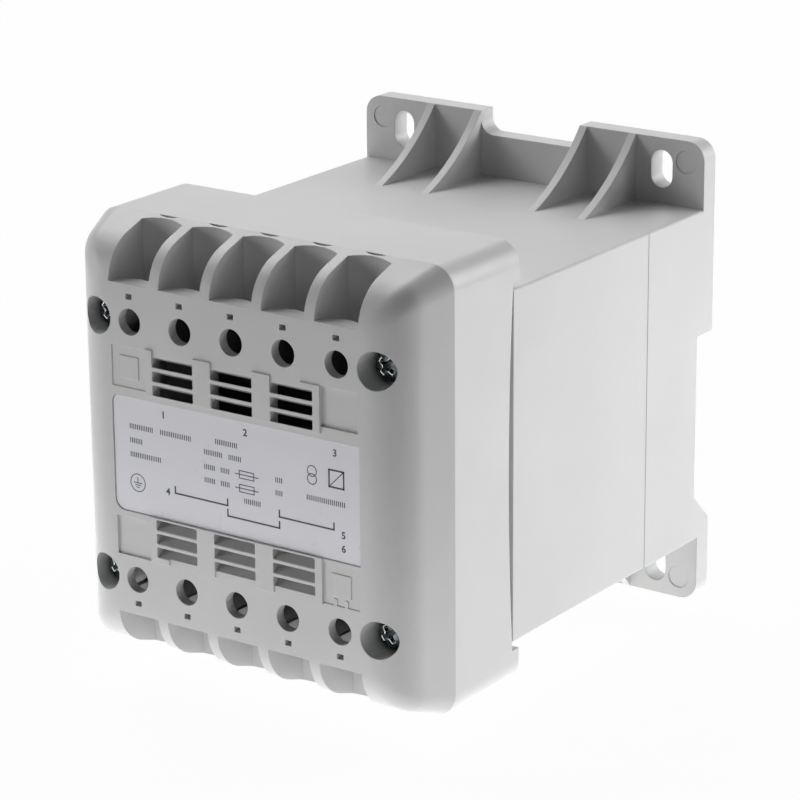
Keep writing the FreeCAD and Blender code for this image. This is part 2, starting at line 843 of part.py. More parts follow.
def contact_bar(x):
    """A contact bar: upright plate with the screw's thread, and a tail to the rear."""
    low = tail_top - bar_tail_thickness
    y0 = front + bar_front
    plate = box(x - bar_half_x, x + bar_half_x, y0, y0 + bar_thickness, low, row_z + block_above_row - 0.3)
    tail = box(x - bar_tail_half_x, x + bar_tail_half_x, y0, tail_end, low, tail_top)
    hole_radius = terminal_screw_radius + thread_clearance
    return fuse([plate, tail]).cut(rod(x, row_z, hole_radius, y0 - 1, y0 + bar_thickness + 1))


def terminal_screw(x):
    seat = front + terminal_head_depth + terminal_head_height
    head = pan_head(x, row_z, terminal_head_radius, terminal_head_height, seat)
    shank = rod(x, row_z, terminal_screw_radius, seat - 0.5, seat + terminal_screw_length)
    half = terminal_slot_width / 2
    top = seat - terminal_head_height
    slot = box(x - terminal_head_radius, x + terminal_head_radius, top - 1, top + terminal_slot_depth,
               row_z - half, row_z + half)
    return fuse([head, shank]).cut(slot)


def clamp_washer(x):
    """A square saddle washer under a terminal screw's head, its wings turned towards the contact bar."""
    y0 = front + terminal_head_depth + terminal_head_height + saddle_gap
    y1 = y0 + saddle_thickness
    plate = box(x - saddle_half, x + saddle_half, y0, y1, row_z - saddle_half, row_z + saddle_half)
    wings = []
    for side in SIDES:
        outer = x + side * saddle_half
        inner = outer - side * saddle_wing_thickness
        wings.append(box(min(outer, inner), max(outer, inner), y1 - 0.2, y1 + saddle_wing,
                         row_z - saddle_half, row_z + saddle_half))
    return fuse([plate] + wings).cut(rod(x, row_z, saddle_hole_radius, y0 - 1, y1 + 1))


def lead(points, bend_radius):
    """A round lead along straight runs with tangent arcs between them."""
    edges = []
    start = points[0]
    for i in range(1, len(points) - 1):
        before = (points[i - 1] - points[i]).normalize()
        after = (points[i + 1] - points[i]).normalize()
        half_turn = (math.pi - before.getAngle(after)) / 2
        cut_back = bend_radius * math.tan(half_turn)
        arc_start = points[i] + before * cut_back
        arc_end = points[i] + after * cut_back
        middle = (before + after).normalize()
        centre = points[i] + middle * (bend_radius / math.cos(half_turn))
        edges.append(Part.LineSegment(start, arc_start).toShape())
        edges.append(Part.Arc(arc_start, centre - middle * bend_radius, arc_end).toShape())
        start = arc_end
    edges.append(Part.LineSegment(start, points[-1]).toShape())
    path = Part.Wire(edges)
    ahead = (points[1] - points[0]).normalize()
    loop = Part.Wire(Part.makeCircle(lead_radius, points[0], ahead))
    return path.makePipeShell([loop], True, False)


def pole_lead(x):
    """A lead from the top of an upper contact bar's tail, over a low hump, to the front of a pin."""
    z = tail_top + lead_radius
    y3 = pin_y - pin_radius - lead_pin_gap
    y2 = y3 - lead_end_run
    return lead([
        V(x, tail_end - lead_overlap, z),
        V(x, tail_end, z),
        V(x, (tail_end + y2) / 2, z + lead_hump),
        V(x, y2, z),
        V(x, y3, z),
    ], lead_bend_radius)


def make_earth_lug():
    """A ring lug under the lower right pillar, with a barrel that points to the front."""
    y0 = core_front - washer_thickness
    tongue = box(lug_barrel_x - lug_tongue_half, fixing_x - washer_radius + 1, y0, core_front,
                 -fixing_z - lug_tongue_half, -fixing_z + lug_tongue_half)
    barrel = rod(lug_barrel_x, -fixing_z, lug_barrel_radius, y0 - lug_barrel_length, core_front)
    bore = rod(lug_barrel_x, -fixing_z, lug_barrel_bore, y0 - lug_barrel_length - 1, y0)
    return fuse([ring(fixing_x, -fixing_z), tongue, barrel]).cut(bore)


def make_earth_lead():
    """From the tail of the last lower contact bar to the earth lug's barrel."""
    z = -tail_top - lead_radius
    x = pole_x[-1]
    barrel_y = core_front - washer_thickness
    mouth = barrel_y - lug_barrel_length
    return lead([
        V(x, tail_end - lead_overlap, z),
        V(x, tail_end + 1, z),
        V(lug_barrel_x, mouth - 1, -fixing_z),
        V(lug_barrel_x, barrel_y - 1, -fixing_z),
    ], lead_bend_radius)


def make_rail_latch():
    wide = latch_half_x + latch_tongue_reach
    shoulder = channel_low - latch_side_clearance
    solids = [
        box(-latch_half_x, latch_half_x, latch_front, latch_rear, latch_end, latch_top),
        box(-wide, wide, latch_front, latch_front + latch_tongue_thickness, latch_end, shoulder),
        box(-latch_half_x, latch_half_x, behind_rail, latch_rear, channel_low - latch_deep_length, latch_top),
    ]
    window = box(-latch_window_half, latch_window_half, behind_rail, 1, window_low, window_top)
    eye_z = (latch_end + window_low - latch_eye_height) / 2
    eye = box(-latch_eye_half_x, latch_eye_half_x, behind_rail, 1, eye_z, eye_z + latch_eye_height)
    bevel = prism([
        V(-wide, latch_rear - latch_bevel_depth, latch_top),
        V(-wide, latch_rear, latch_top - latch_nose_reach),
        V(-wide, latch_rear, latch_top),
    ], V(2 * wide, 0, 0))
    return fuse(solids).cut(Part.makeCompound([window, eye, bevel]))


def make_latch_spring():
    """A coil spring between the peg and the upper end of the latch's window."""
    height = window_top - peg_top - 2 * (spring_end_gap + spring_wire_radius)
    helix = Part.makeLongHelix(height / spring_turns, height, spring_radius)
    start = helix.Vertexes[0].Point
    loop = Part.Wire(Part.makeCircle(spring_wire_radius, start, V(0, 1, 0)))
    spring = Part.Wire(helix).makePipeShell([loop], True, True)
    middle_y = (groove_floor + latch_rear) / 2
    return spring.translated(V(0, middle_y, peg_top + spring_end_gap + spring_wire_radius))


def pole_group(make):
    return Part.makeCompound([make(x) for x in pole_x])


def main():
    block = make_terminal_block()
    screws = pole_group(terminal_screw)
    saddles = pole_group(clamp_washer)
    bars = pole_group(contact_bar)
    leads = [pole_lead(x) for x in pole_x]
    label_rear = front + label_recess_depth
    parts = {
        "casing": make_casing(),
        "front_cover": make_front_cover(),
        "rating_label": label_plate(0, label_rear - label_thickness, label_rear),
        "cover_screws": make_cover_screws(),
        "pillar_bolts": make_pillar_bolts(),
        "pillar_washers": make_pillar_washers(),
        "e_laminations": make_e_laminations(),
        "i_laminations": make_i_laminations(),
        "coil_bobbin": make_coil_bobbin(),
        "primary_winding": layer(primary_start, primary_build),
        "winding_insulation": layer(insulation_start, insulation_build),
        "secondary_winding": layer(secondary_start, secondary_build),
        "coil_tape": layer(tape_start, tape_build),
        "winding_pins": make_winding_pins(),
        "upper_terminal_block": block,
        "lower_terminal_block": below(block),
        "upper_terminal_screws": screws,
        "lower_terminal_screws": below(screws),
        "upper_clamp_washers": saddles,
        "lower_clamp_washers": below(saddles),
        "upper_contact_bars": bars,
        "lower_contact_bars": below(bars),
        "upper_leads": Part.makeCompound(leads),
        "lower_leads": Part.makeCompound([below(part) for part in leads[:-1]]),
        "earth_lug": make_earth_lug(),
        "earth_lead": make_earth_lead(),
        "rail_latch": make_rail_latch(),
        "latch_spring": make_latch_spring(),
    }
    os.makedirs("parts", exist_ok=True)
    for name, shape in parts.items():
        shape.exportStep("parts/" + name + ".step")
        print(name, len(shape.Solids), "solids", round(shape.Volume, 1), "mm3", "valid", shape.isValid())


main()
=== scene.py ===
"""Looks of the boxed transformer: shells, label print, screws, coil and core, floor, light and camera."""
import json
import math

import bmesh
import bpy
from mathutils import Matrix, Quaternion, Vector

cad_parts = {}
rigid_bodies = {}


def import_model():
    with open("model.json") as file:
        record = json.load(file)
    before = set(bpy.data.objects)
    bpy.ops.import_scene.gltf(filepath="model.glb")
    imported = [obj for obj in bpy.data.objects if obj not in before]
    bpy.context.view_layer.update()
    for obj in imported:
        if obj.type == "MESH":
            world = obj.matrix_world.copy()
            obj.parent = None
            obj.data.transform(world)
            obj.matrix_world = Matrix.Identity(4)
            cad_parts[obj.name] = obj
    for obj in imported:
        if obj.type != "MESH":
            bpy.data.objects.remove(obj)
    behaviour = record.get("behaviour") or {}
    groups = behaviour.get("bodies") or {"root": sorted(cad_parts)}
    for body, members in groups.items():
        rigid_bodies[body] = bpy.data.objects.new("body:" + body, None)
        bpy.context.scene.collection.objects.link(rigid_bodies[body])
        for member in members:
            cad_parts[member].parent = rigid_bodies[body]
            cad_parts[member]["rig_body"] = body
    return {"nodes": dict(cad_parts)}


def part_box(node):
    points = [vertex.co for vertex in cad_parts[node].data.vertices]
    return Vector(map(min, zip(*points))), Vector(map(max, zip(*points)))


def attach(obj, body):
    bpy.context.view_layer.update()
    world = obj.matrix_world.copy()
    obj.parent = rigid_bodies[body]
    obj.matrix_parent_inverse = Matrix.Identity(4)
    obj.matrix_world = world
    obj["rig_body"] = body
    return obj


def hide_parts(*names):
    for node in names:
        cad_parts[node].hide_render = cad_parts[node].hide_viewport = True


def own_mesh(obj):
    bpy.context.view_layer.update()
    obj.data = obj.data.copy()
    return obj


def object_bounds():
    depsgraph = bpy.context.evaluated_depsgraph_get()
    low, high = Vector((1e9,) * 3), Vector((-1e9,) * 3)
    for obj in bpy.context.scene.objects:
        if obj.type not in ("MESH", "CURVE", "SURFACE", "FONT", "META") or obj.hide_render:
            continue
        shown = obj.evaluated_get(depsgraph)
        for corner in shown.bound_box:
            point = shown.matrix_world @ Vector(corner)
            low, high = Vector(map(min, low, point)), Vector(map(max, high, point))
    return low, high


MM = 0.001
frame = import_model()
cad_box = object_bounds()
nodes = frame["nodes"]
HOLDER = "transformer"

# Camera
camera_place = Vector((0.3803, -0.5907, 0.2131))
camera_target = Vector((0.0004, -0.0535, 0.0006))
camera_roll = math.radians(-0.46)
camera_lens = 152.2
camera_sensor = 36
camera_reach = 20

# Stage. The floor lies just below the opened latch.
floor_level = cad_box[0][2] - 4 * MM
floor_half = 3.0
floor_colour = (0.86, 0.86, 0.86)
backdrop_white = 0.965

# Soft boxes aim at the middle of the part: name, place, size and power
middle = (0, -0.054, 0)
large_box = (0.8, 0.7)
soft_boxes = (
    ("top_rear_box", (-0.6, 0.8, 0.9), large_box, 3.2),
    ("top_left_box", (-0.7, 0.1, 1.0), large_box, 7.2),
    ("top_right_box", (0.75, 0.45, 0.85), large_box, 2.0),
    ("right_rear_box", (0.8, 0.9, 0.35), large_box, 9.6),
    ("left_box", (-0.93, -0.79, 0.22), (0.5, 0.5), 3.55),
)

# Glows stand for light from the table. They lie just above the floor and aim at a point overhead: name, x, y,
# size and power
glow_rise = 1 * MM
glow_aim = 1.0
glows = (
    ("near_glow", 0.0, -0.05, (0.3, 0.3), 0.25),
    ("left_glow", -0.3, -0.1, (0.3, 0.4), 0.12),
    ("right_glow", 0.25, 0.15, (0.25, 0.25), 0.46),
)

# Shells. Points of a mesh that are nearer to each other than the weld's reach become one.
edge_round = 0.22 * MM
edge_samples = 4
crease_angle = math.radians(17)
weld_reach = 0.001 * MM
shell_nodes = (
    "casing", "front_cover", "upper_terminal_block", "lower_terminal_block", "coil_bobbin", "rail_latch",
)

# Screws. The crown is a head's profile from its middle to its seat, in shares of its radius and height.
crown = ((0, 0), (0.45, 0.04), (0.7, 0.13), (0.86, 0.27), (0.96, 0.48), (1, 0.72), (1, 0.95), (0.97, 1))
thread_pitch = 0.7 * MM
thread_depth = 0.3 * MM
tip_start, tip_end = 0.8, 0.6
screw_steps = 40
screw_crease = math.radians(28)
poles = 5

# Recesses of screws. The slot's reach and the glint reach are shares of the head's radius, and the glint height
# # is a share of its height. Recess edges within them are rounded and get a painted glint: a lighter colour in place
# of highlights.
cutter_rise = 0.01 * MM
cross_reach = 2.0 * MM
cross_half = 0.5 * MM
cross_corner = 0.35 * MM
cross_depth = 1.6 * MM
cross_taper = 0.55
slot_reach = 1.1
slot_half = 0.5 * MM
slot_depth = 1.2 * MM
glint_bevel = 0.1 * MM
glint_angle = math.radians(40)
glint_reach = 0.93
glint_height = 0.5

# Core and coil
sheet_pitch = 0.5 * MM
sheet_gap = 0.04 * MM
core_hole = 2.25 * MM
hole_steps = 16
wire_gap = 0.02 * MM
wire_steps = 8
corner_steps = 4
wire_radius = {"primary_winding": 0.28 * MM, "secondary_winding": 0.5 * MM}
winding_corner = {"primary_winding": 6.7 * MM, "secondary_winding": 11.3 * MM}

# Print on the label
label_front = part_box("rating_label")[0][1]
print_height = 0.02 * MM
number_weight = 0.045 * MM

# Sizes of the print, in millimetres. The number font is the size of the type for a digit of height 1.
thin_line = 0.18
thick_line = 0.34
stroke_line = 0.2
stroke_inset = 0.055
stroke_step = 0.46
word_height = 0.95
word_gap = 1.4
number_height = 1.45
number_font = 1.38

# Numbers on the label: value, x and z in millimetres
label_numbers = (
    (1, -17.2, 8.4), (2, 2.8, 8.5), (3, 24.0, 8.4), (4, -16.5, -7.2), (5, 25.8, -7.7), (6, 25.8, -10.4),
)

# Rows of words on the label: x and z of their start and the length of each word, in millimetres
word_rows = (
    (-25.6, 4.9, (6.2, 7.6)),
    (-25.6, 2.0, (3.4,)),
    (-25.6, -0.9, (7.6,)),
    (-4.4, 5.6, (5.4,)),
    (-7.2, 3.0, (4.6, 3.4)),
    (-7.2, 0.0, (2.6, 2.4)),
    (-7.2, -2.7, (2.6, 2.4)),
    (10.0, 0.6, (1.7,)),
    (10.0, -2.0, (1.7,)),
    (2.4, -5.2, (4.2,)),
    (17.4, -1.4, (9.4,)),
)

# Brackets of the winding diagram: x of both ends and z, in millimetres
brackets = ((-14.7, -1.8, -6.5), (-1.8, 10.7, -8.6), (10.7, 23.6, -6.3))
bracket_height = 1.3

# Places of the label's signs: x and z in millimetres
fuse_places = ((1.2, 0.5), (1.2, -2.3))
earth_place = (-24.1, -6.2)
coupled_rings_place = (18.6, 2.9)
halved_square_place = (22.6, 2.2)


# Materials

# Sockets that a mix node has for colours, and that a random value node has for floats
MIX_FIRST, MIX_SECOND, MIX_RESULT = 6, 7, 2
CHANCE_LEAST, CHANCE_MOST, CHANCE_RESULT = 2, 3, 1


class Finish:
    """A material under construction, with short ways to add and join its nodes."""

    def __init__(self, name):
        self.material = bpy.data.materials.new(name)
        self.material.use_nodes = True
        self.tree = self.material.node_tree
        self.shader = self.tree.nodes["Principled BSDF"]
        self.place = self.add("ShaderNodeTexCoord").outputs["Object"]

    def add(self, kind, **values):
        node = self.tree.nodes.new(kind)
        for key, value in values.items():
            if key in node.inputs:
                node.inputs[key].default_value = value
            else:
                setattr(node, key, value)
        return node

    def join(self, output, socket):
        self.tree.links.new(output, socket)

    def set(self, **values):
        for key, value in values.items():
            self.shader.inputs[key.replace("_", " ")].default_value = value

    def noise(self, scale, detail=2.0, roughness=0.5, stretch=(1, 1, 1)):
        mapping = self.add("ShaderNodeMapping")
        mapping.inputs["Scale"].default_value = stretch
        self.join(self.place, mapping.inputs["Vector"])
        noise = self.add("ShaderNodeTexNoise", Scale=scale, Detail=detail, Roughness=roughness)
        self.join(mapping.outputs["Vector"], noise.inputs["Vector"])
        return noise.outputs["Fac"]

    def spread(self, source, span, new_span=(0, 1)):
        """The source with its values in a span spread over a new one, and cut off beyond it."""
        remap = self.add("ShaderNodeMapRange")
        for index, value in enumerate((*span, *new_span), 1):
            remap.inputs[index].default_value = value
        self.join(source, remap.inputs[0])
        return remap.outputs[0]

    def patches(self, scale, detail, roughness, new_span=(0, 1), span=(0.3, 0.7), stretch=(1, 1, 1)):
        """Noise, spread over a new span."""
        return self.spread(self.noise(scale, detail, roughness, stretch), span, new_span)

    def tint(self, source, dark, light):
        mix = self.add("ShaderNodeMix", data_type="RGBA")
        mix.inputs[MIX_FIRST].default_value = (*dark, 1)
        mix.inputs[MIX_SECOND].default_value = (*light, 1)
        self.join(source, mix.inputs[0])
        return mix.outputs[MIX_RESULT]

    def colour(self, output):
        self.join(output, self.shader.inputs["Base Color"])

    def roughness(self, output):
        self.join(output, self.shader.inputs["Roughness"])

    def relief(self, height, depth, strength=1.0):
        """Adds a bump on top of what already shapes the surface."""
        bump = self.add("ShaderNodeBump", Strength=strength, Distance=depth)
        previous = self.shader.inputs["Normal"].links
        if previous:
            self.join(previous[0].from_socket, bump.inputs["Normal"])
        self.join(height, bump.inputs["Height"])
        self.join(bump.outputs["Normal"], self.shader.inputs["Normal"])


def scaled(colour, factor):
    return tuple(min(1.0, channel * factor) for channel in colour)


def moulded_plastic(name, colour, roughness=0.42, grain=0.03 * MM, cloud=0.03, specular=0.4):
    """Moulded plastic with rounded edges, a fine spark eroded grain, faint flow clouds and handling marks."""
    finish = Finish(name)
    finish.set(Specular_IOR_Level=specular)
    edges = finish.add("ShaderNodeBevel", Radius=edge_round)
    edges.samples = edge_samples
    finish.join(edges.outputs["Normal"], finish.shader.inputs["Normal"])
    clouds = finish.patches(38, 3, 0.55)
    finish.colour(finish.tint(clouds, scaled(colour, 1 - cloud), scaled(colour, 1 + cloud)))
    marks = (roughness - 0.04, roughness + 0.07)
    finish.roughness(finish.patches(150, 4, 0.6, marks, span=(0.35, 0.7)))
    finish.relief(finish.noise(5200, 2, 0.6), grain, 0.55)
    finish.relief(finish.noise(60), 0.25 * MM, 0.12)
    return finish.material


def printed_film(name, colour):
    """Film of the label, with a satin top coat."""
    finish = Finish(name)
    finish.set(Specular_IOR_Level=0.5)
    clouds = finish.patches(70, 2, 0.5)
    finish.colour(finish.tint(clouds, scaled(colour, 0.985), scaled(colour, 1.015)))
    finish.roughness(finish.patches(400, 3, 0.6, (0.27, 0.36)))
    finish.relief(finish.noise(900), 0.02 * MM, 0.25)
    return finish.material


def label_ink(name, colour):
    """Dull ink, a little uneven."""
    finish = Finish(name)
    speckle = finish.patches(3500, 2, 0.5, span=(0.35, 0.65))
    finish.colour(finish.tint(speckle, colour, scaled(colour, 1.8)))
    finish.roughness(finish.patches(900, 2, 0.5, (0.4, 0.5)))
    return finish.material


def plated_steel(name, colour, roughness=0.28, mottled=0.1, painted_glint=(0.8, 0.82, 0.84)):
    """Plated metal: mottled, and lighter on the marked recess edges of screws, a painted glint."""
    finish = Finish(name)
    finish.set(Metallic=1.0)
    mottle = finish.patches(1500, 4, 0.65)
    plating = finish.tint(mottle, scaled(colour, 1 - mottled), scaled(colour, 1 + mottled))
    # The marked faces get a lighter colour: a painted glint.
    edge = finish.add("ShaderNodeAttribute", attribute_name="painted_glint")
    glinting = finish.add("ShaderNodeMix", data_type="RGBA")
    glinting.inputs[MIX_SECOND].default_value = (*painted_glint, 1)
    finish.join(edge.outputs["Fac"], glinting.inputs[0])
    finish.join(plating, glinting.inputs[MIX_FIRST])
    finish.colour(glinting.outputs[MIX_RESULT])
    finish.roughness(finish.patches(1600, 3, 0.6, (roughness - 0.08, roughness + 0.1)))
    finish.relief(finish.noise(2600, 2, 0.6), 0.02 * MM, 0.5)
    return finish.material


def sheet_steel(name):
    """Varnished edges of the core's sheets."""
    finish = Finish(name)
    finish.set(Metallic=0.85)
    blotch = finish.patches(120, 4, 0.6)
    finish.colour(finish.tint(blotch, (0.09, 0.085, 0.08), (0.2, 0.19, 0.185)))
    finish.roughness(finish.patches(600, 3, 0.6, (0.3, 0.55)))
    finish.relief(finish.noise(800, 2, 0.6), 0.03 * MM, 0.5)
    return finish.material


def enamelled_wire(name):
    """Copper wire under a clear amber enamel."""
    finish = Finish(name)
    finish.set(Metallic=0.9, Coat_Weight=0.6, Coat_Roughness=0.12)
    shade = finish.patches(220, 3, 0.6)
    finish.colour(finish.tint(shade, (0.42, 0.13, 0.045), (0.62, 0.22, 0.08)))
    finish.roughness(finish.patches(800, 2, 0.5, (0.22, 0.36)))
    return finish.material


def wound_film(name, colour, roughness):
    """Film or tape wound round the coil, with the ridges of its overlaps."""
    finish = Finish(name)
    finish.set(Specular_IOR_Level=0.5)
    shade = finish.patches(90, 3, 0.6, stretch=(1, 1, 6))
    finish.colour(finish.tint(shade, scaled(colour, 0.86), scaled(colour, 1.08)))
    finish.roughness(finish.patches(300, 2, 0.5, (roughness - 0.06, roughness + 0.08)))
    finish.relief(finish.noise(160, stretch=(0.3, 0.3, 4)), 0.12 * MM, 0.5)
    return finish.material


def striped_sleeve(name, first, second, pitch):
    """Sleeve of a lead, in stripes of two colours."""
    finish = Finish(name)
    scale = 1 / (2 * math.pi * pitch)
    wave = finish.add("ShaderNodeTexWave", wave_type="BANDS", bands_direction="X", Scale=scale)
    finish.join(finish.place, wave.inputs["Vector"])
    finish.colour(finish.tint(finish.spread(wave.outputs["Fac"], (0.48, 0.52)), first, second))
    finish.roughness(finish.patches(500, 2, 0.5, (0.38, 0.5)))
    finish.relief(finish.noise(1800), 0.03 * MM, 0.4)
    return finish.material


case_grey = (0.605, 0.61, 0.605)
casing_finish = moulded_plastic("casing_plastic", case_grey)
cover_finish = moulded_plastic("cover_plastic", case_grey, roughness=0.38)
film_finish = printed_film("label_film", (0.76, 0.76, 0.81))
ink_finish = label_ink("label_ink", (0.018, 0.018, 0.022))
# The screws' dark colour is a painted dark reflection, and their strong mottle is partly random tone, partly painted
# sparkle.
screw_finish = plated_steel("zinc_plated_steel", (0.1, 0.12, 0.125), mottled=0.6)
sheet_finish = sheet_steel("varnished_sheet_steel")
# The terminal blocks are darkened to stand in for the shade deep in the access holes: painted shade.
block_finish = moulded_plastic("block_moulding", (0.11, 0.113, 0.11), roughness=0.4)
black_finish = moulded_plastic("black_moulding", (0.022, 0.022, 0.024), roughness=0.4, cloud=0.12)
latch_finish = moulded_plastic("latch_moulding", (0.03, 0.03, 0.033), roughness=0.36, cloud=0.12)
wire_finish = enamelled_wire("enamelled_copper")
film_wrap_finish = wound_film("insulating_film", (0.72, 0.5, 0.12), 0.4)
# The coil tape is made black to stand in for the shade inside the vents: painted shade.
tape_finish = wound_film("tape_in_painted_shade", (0.02, 0.02, 0.022), 0.32)
bar_finish = plated_steel("tinned_brass", (0.68, 0.6, 0.42), roughness=0.24)
spring_finish = plated_steel("spring_wire", (0.5, 0.5, 0.5), roughness=0.22)
red_sleeve_finish = striped_sleeve("red_sleeve", (0.4, 0.03, 0.02), (0.44, 0.035, 0.024), 3 * MM)
earth_sleeve_finish = striped_sleeve("earth_sleeve", (0.6, 0.5, 0.02), (0.02, 0.2, 0.03), 1.1 * MM)

node_finishes = {
    "casing": casing_finish,
    "front_cover": cover_finish,
    "rating_label": film_finish,
    "cover_screws": screw_finish,
    "pillar_bolts": screw_finish,
    "pillar_washers": screw_finish,
    "e_laminations": sheet_finish,
    "i_laminations": sheet_finish,
    "coil_bobbin": black_finish,
    "primary_winding": wire_finish,
    "winding_insulation": film_wrap_finish,
    "secondary_winding": wire_finish,
    "coil_tape": tape_finish,
    "winding_pins": bar_finish,
    "upper_terminal_block": block_finish,
    "lower_terminal_block": block_finish,
    "upper_terminal_screws": screw_finish,
    "lower_terminal_screws": screw_finish,
    "upper_clamp_washers": screw_finish,
    "lower_clamp_washers": screw_finish,
    "upper_contact_bars": bar_finish,
    "lower_contact_bars": bar_finish,
    "upper_leads": red_sleeve_finish,
    "lower_leads": red_sleeve_finish,
    "earth_lug": bar_finish,
    "earth_lead": earth_sleeve_finish,
    "rail_latch": latch_finish,
    "latch_spring": spring_finish,
}
for node_name, node_finish in node_finishes.items():
    materials = nodes[node_name].data.materials
    materials.clear()
    materials.append(node_finish)


# Making and placing pieces

def new_piece(name, mesh, finish):
    piece = bpy.data.objects.new(name, mesh)
    bpy.context.scene.collection.objects.link(piece)
    mesh.materials.clear()
    mesh.materials.append(finish)
    return piece


def evaluated_mesh(piece):
    """The piece's mesh with its modifiers worked in."""
    graph = bpy.context.evaluated_depsgraph_get()
    return bpy.data.meshes.new_from_object(piece.evaluated_get(graph), depsgraph=graph)


def settle(piece):
    """Works the piece's modifiers into its mesh."""
    mesh = evaluated_mesh(piece)
    piece.modifiers.clear()
    piece.data = mesh


def upright_mesh(name, curve):
    """The mesh of a flat curve or text, stood up in the XZ plane."""
    carrier = bpy.data.objects.new(name, curve)
    bpy.context.scene.collection.objects.link(carrier)
    bpy.context.view_layer.update()
    mesh = evaluated_mesh(carrier)
    mesh.transform(Matrix.Rotation(math.pi / 2, 4, "X"))
    bpy.data.objects.remove(carrier)
    return mesh


def circle(radius, steps, x=0.0, z=0.0):
    """Points round a centre."""
    turns = [2 * math.pi * i / steps for i in range(steps)]
    return [(x + radius * math.cos(turn), z + radius * math.sin(turn)) for turn in turns]


def stand_for(piece, node):
    """Lets the piece replace a node and ride where the node rides."""
    body = nodes[node]["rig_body"]
    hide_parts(node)
    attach(piece, body)
    return piece


def moulded_shell(node):
    """Stands for a moulded node: the same form with even shading over its curves and crisp creases."""
    work = bmesh.new()
    work.from_mesh(nodes[node].data)
    bmesh.ops.remove_doubles(work, verts=work.verts, dist=weld_reach)
    work.verts.index_update()
    mesh = bpy.data.meshes.new(node + "_shell")
    faces = [[corner.index for corner in face.verts] for face in work.faces]
    mesh.from_pydata([vertex.co for vertex in work.verts], [], faces)
    work.free()
    mesh.shade_smooth()
    mesh.set_sharp_from_angle(angle=crease_angle)
    piece = new_piece(node + "_shell", mesh, node_finishes[node])
    even = piece.modifiers.new("even shading", "WEIGHTED_NORMAL")
    even.keep_sharp = True
    settle(piece)
    return stand_for(piece, node)


def press_spring():
    """The latch's spring as a moulded shell with a mesh of its own."""
    spring = moulded_shell("latch_spring")
    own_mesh(spring)


# Growing what repeats

class Growth:
    """A geometry node tree under construction. Its sizes are named inputs."""

    def __init__(self, name):
        self.tree = bpy.data.node_groups.new(name, "GeometryNodeTree")
        self.tree.interface.new_socket("Geometry", in_out="OUTPUT", socket_type="NodeSocketGeometry")
        self.entry = self.tree.nodes.new("NodeGroupInput")
        self.places = self.size("Places", "Geometry")

    def size(self, name, kind="Float"):
        self.tree.interface.new_socket(name, in_out="INPUT", socket_type="NodeSocket" + kind)
        return self.entry.outputs[name]

    def add(self, kind, **values):
        node = self.tree.nodes.new(kind)
        for key, value in values.items():
            if key in node.inputs:
                self.feed(value, node.inputs[key])
            else:
                setattr(node, key, value)
        return node

    def feed(self, value, socket):
        if isinstance(value, bpy.types.NodeSocket):
            self.tree.links.new(value, socket)
        else:
            socket.default_value = value

    def end(self, geometry):
        real = self.add("GeometryNodeRealizeInstances", Geometry=geometry)
        coat = self.add("GeometryNodeSetMaterial", Geometry=real.outputs[0],
                        Material=self.size("Finish", "Material"))
        exit_node = self.add("NodeGroupOutput")
        self.feed(coat.outputs[0], exit_node.inputs[0])


def grow(name, growth, finish, places, sizes):
    """Makes a plain mesh piece from a tree, at the given places."""
    mesh = bpy.data.meshes.new(name)
    mesh.from_pydata(places, [], [])
    piece = new_piece(name, mesh, finish)
    steps = piece.modifiers.new(name, "NODES")
    steps.node_group = growth.tree
    values = dict(sizes, Finish=finish)
    for socket in growth.tree.interface.items_tree:
        if socket.in_out == "INPUT" and socket.name in values:
            steps[socket.identifier] = values[socket.name]
    settle(piece)
    return piece


def screw_growth():
    """One screw at each place, each turned a little differently."""
    growth = Growth("screws_in_places")
    pattern = growth.add("GeometryNodeObjectInfo", Object=growth.size("Screw", "Object"))
    chance = growth.add("FunctionNodeRandomValue", data_type="FLOAT")
    growth.feed(growth.size("Least Turn"), chance.inputs[CHANCE_LEAST])
    growth.feed(growth.size("Most Turn"), chance.inputs[CHANCE_MOST])
    growth.feed(growth.size("Seed", "Int"), chance.inputs["Seed"])
    turn = growth.add("ShaderNodeCombineXYZ", Y=chance.outputs[CHANCE_RESULT])
    turned = growth.add("FunctionNodeEulerToRotation", Euler=turn.outputs[0])
    placed = growth.add("GeometryNodeInstanceOnPoints", Points=growth.places,
                        Instance=pattern.outputs["Geometry"], Rotation=turned.outputs[0])
    growth.end(placed.outputs[0])
    return growth


def stack_growth():
    """Sheets behind each other, from each place to the rear."""
    growth = Growth("stack_of_sheets")
    pattern = growth.add("GeometryNodeObjectInfo", Object=growth.size("Sheet", "Object"))
    step = growth.add("ShaderNodeCombineXYZ", Y=growth.size("Pitch"))
    line = growth.add("GeometryNodeMeshLine", mode="OFFSET", Count=growth.size("Sheets", "Int"),
                      Offset=step.outputs[0])
    sheets = growth.add("GeometryNodeInstanceOnPoints", Points=line.outputs[0],
                        Instance=pattern.outputs["Geometry"])
    stacks = growth.add("GeometryNodeInstanceOnPoints", Points=growth.places, Instance=sheets.outputs[0])
    growth.end(stacks.outputs[0])
    return growth


